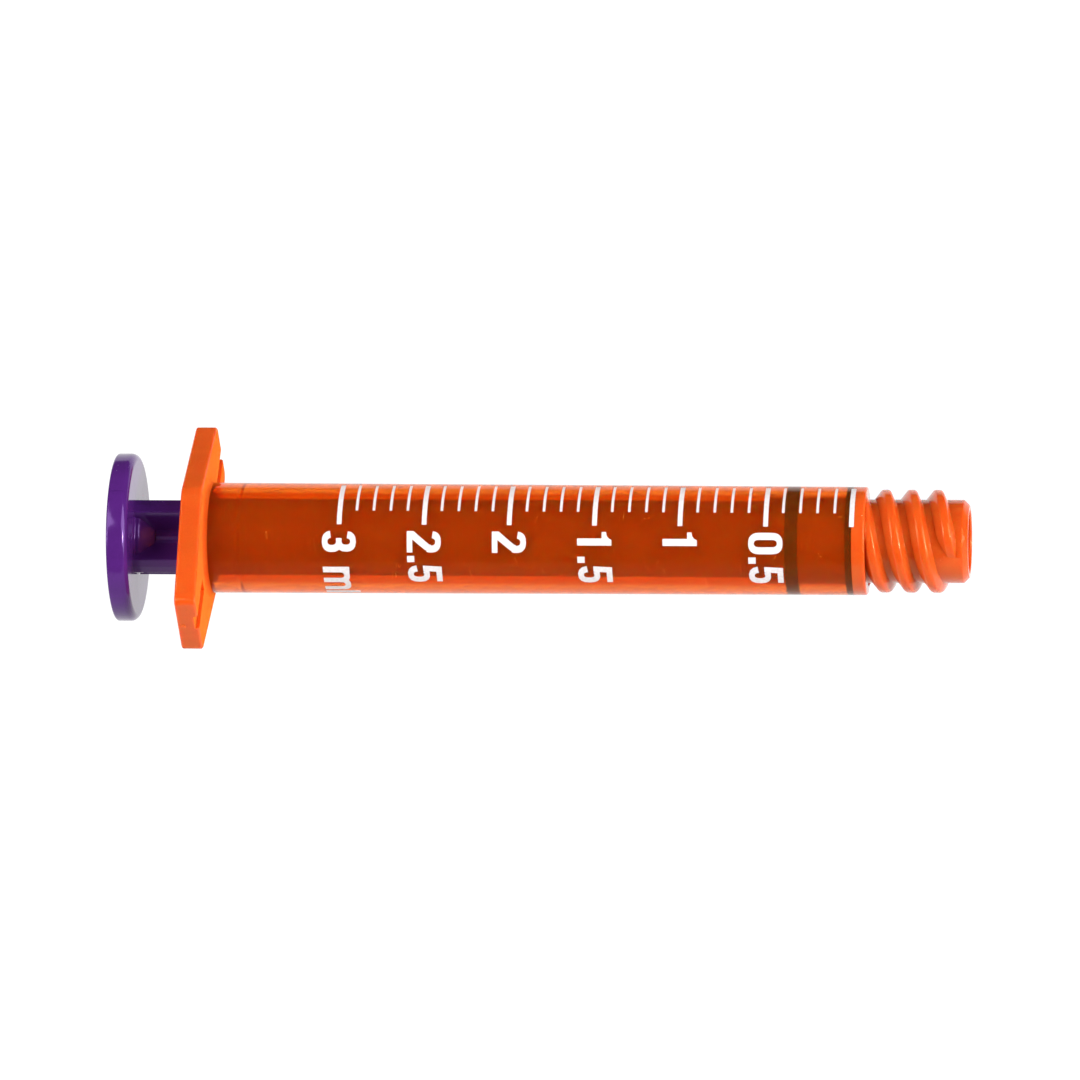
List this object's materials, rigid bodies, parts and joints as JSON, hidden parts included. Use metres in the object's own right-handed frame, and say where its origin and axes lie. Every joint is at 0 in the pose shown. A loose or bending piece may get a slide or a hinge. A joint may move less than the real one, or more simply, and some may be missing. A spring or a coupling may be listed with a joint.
{
  "type": "oral syringe",
  "caption": "Oral syringe with a printed ml scale, a tapered finger flange, a cross-vaned plunger rod with a thumb disc, an elastomer stopper and a wide threaded nozzle.",
  "frame": {"origin": "centre of the nozzle's mouth, on the syringe's axis", "axes": "+X along the syringe out of the nozzle's mouth; +Y along the finger flange's long way; +Z across the flange"},
  "size_m": [0.0826, 0.0225, 0.0162],
  "materials": {
    "barrel": "translucent amber-orange polypropylene, gloss",
    "rod": "opaque purple polypropylene, satin gloss",
    "stopper": "smooth dark elastomer, lightly siliconed",
    "ink": "opaque white printing ink"
  },
  "bodies": {
    "barrel": {"barrel": "barrel", "scale_long_marks": "ink", "scale_short_marks": "ink", "scale_numerals": "ink", "scale_unit_mark": "ink"},
    "stopper": {"stopper": "stopper"},
    "plunger": {"plunger_rod": "rod"}
  },
  "joints": [
    {"name": "plunger_slide", "type": "slide", "parent": "barrel", "child": "stopper", "axis": [-1, 0, 0], "range_m": [0, 0.0505]},
    {"name": "rod_turn", "type": "hinge", "parent": "stopper", "child": "plunger", "pos_m": [-0.017, 0, 0], "axis": [1, 0, 0], "continuous": true}
  ]
}
